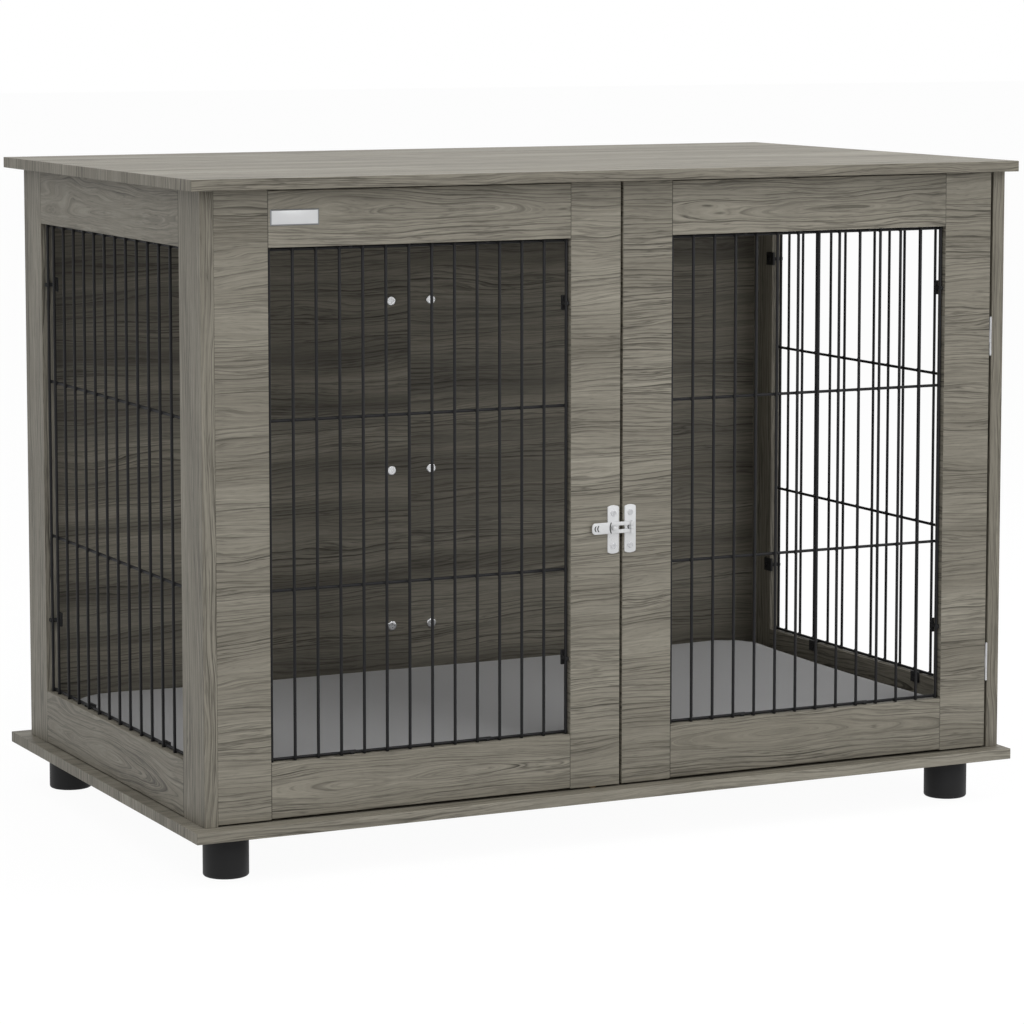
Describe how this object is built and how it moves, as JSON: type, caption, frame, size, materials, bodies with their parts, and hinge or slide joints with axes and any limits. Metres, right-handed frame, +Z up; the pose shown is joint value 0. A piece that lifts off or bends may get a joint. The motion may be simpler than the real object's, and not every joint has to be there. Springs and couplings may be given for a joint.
{
  "type": "dog crate end table",
  "caption": "Dog crate end table: wood-look cabinet with upright wire grilles, one hinged grille door with a hasp latch, two-piece back, round feet and an inner cushion.",
  "frame": {"origin": "on the floor, under the middle of the bounding box", "axes": "+Z up, +X to the right as seen from the front along the boards' length, front towards -Y"},
  "size_m": [1, 0.6, 0.735],
  "materials": {
    "grey_wood_foil": "matt wood-grain foil",
    "black_wire": "satin powder coat",
    "black_plastic": "matt",
    "bright_plate": "satin",
    "steel_hardware": "satin zinc plate",
    "black_screws": "satin black zinc",
    "zinc_fittings": "die-cast, bare",
    "dowel_wood": "bare",
    "grey_cloth": "woven"
  },
  "bodies": {
    "cabinet": {"back_joining_strip": "grey_wood_foil", "back_left_panel": "grey_wood_foil", "back_panel_screws": "steel_hardware", "back_right_panel": "grey_wood_foil", "back_strip_bolts": "steel_hardware", "back_strip_nuts": "steel_hardware", "bottom_board": "grey_wood_foil", "bottom_board_screws": "steel_hardware", "cabinet_clip_screws": "black_screws", "cabinet_dowels": "dowel_wood", "cam_bolts": "zinc_fittings", "cam_locks": "zinc_fittings", "cushion": "grey_cloth", "foot_front_left": "black_plastic", "foot_front_right": "black_plastic", "foot_insert_nuts": "steel_hardware", "foot_rear_left": "black_plastic", "foot_rear_right": "black_plastic", "foot_studs": "steel_hardware", "front_fixed_bottom_rail": "grey_wood_foil", "front_fixed_left_stile": "grey_wood_foil", "front_fixed_mesh": "black_wire", "front_fixed_mesh_clips": "black_plastic", "front_fixed_right_stile": "grey_wood_foil", "front_fixed_top_rail": "grey_wood_foil", "hinge_frame_screws": "steel_hardware", "hinge_pins": "steel_hardware", "latch_keeper_plate": "bright_plate", "latch_keeper_screws": "steel_hardware", "lower_hinge_frame_leaf": "steel_hardware", "nameplate": "bright_plate", "side_left_bottom_rail": "grey_wood_foil", "side_left_left_stile": "grey_wood_foil", "side_left_mesh": "black_wire", "side_left_mesh_clips": "black_plastic", "side_left_right_stile": "grey_wood_foil", "side_left_top_rail": "grey_wood_foil", "side_right_bottom_rail": "grey_wood_foil", "side_right_left_stile": "grey_wood_foil", "side_right_mesh": "black_wire", "side_right_mesh_clips": "black_plastic", "side_right_right_stile": "grey_wood_foil", "side_right_top_rail": "grey_wood_foil", "top_board": "grey_wood_foil", "upper_hinge_frame_leaf": "steel_hardware"},
    "door": {"door_bottom_rail": "grey_wood_foil", "door_clip_screws": "black_screws", "door_dowels": "dowel_wood", "door_left_stile": "grey_wood_foil", "door_mesh": "black_wire", "door_mesh_clips": "black_plastic", "door_right_stile": "grey_wood_foil", "door_top_rail": "grey_wood_foil", "lower_hinge_door_leaf": "steel_hardware", "upper_hinge_door_leaf": "steel_hardware", "hinge_door_screws": "steel_hardware", "latch_pivot_plate": "bright_plate", "latch_pivot_screws": "steel_hardware", "latch_pin": "steel_hardware"},
    "latch_arm": {"latch_arm": "bright_plate"}
  },
  "joints": [
    {"name": "door_hinge", "type": "hinge", "parent": "cabinet", "child": "door", "pos_m": [0.4772, -0.281, 0.3909], "axis": [0, 0, 1], "range_deg": [0, 175]},
    {"name": "latch_arm_hinge", "type": "hinge", "parent": "door", "child": "latch_arm", "pos_m": [0.0147, -0.28495, 0.346], "axis": [0, 0, 1], "range_deg": [0, 170]}
  ]
}
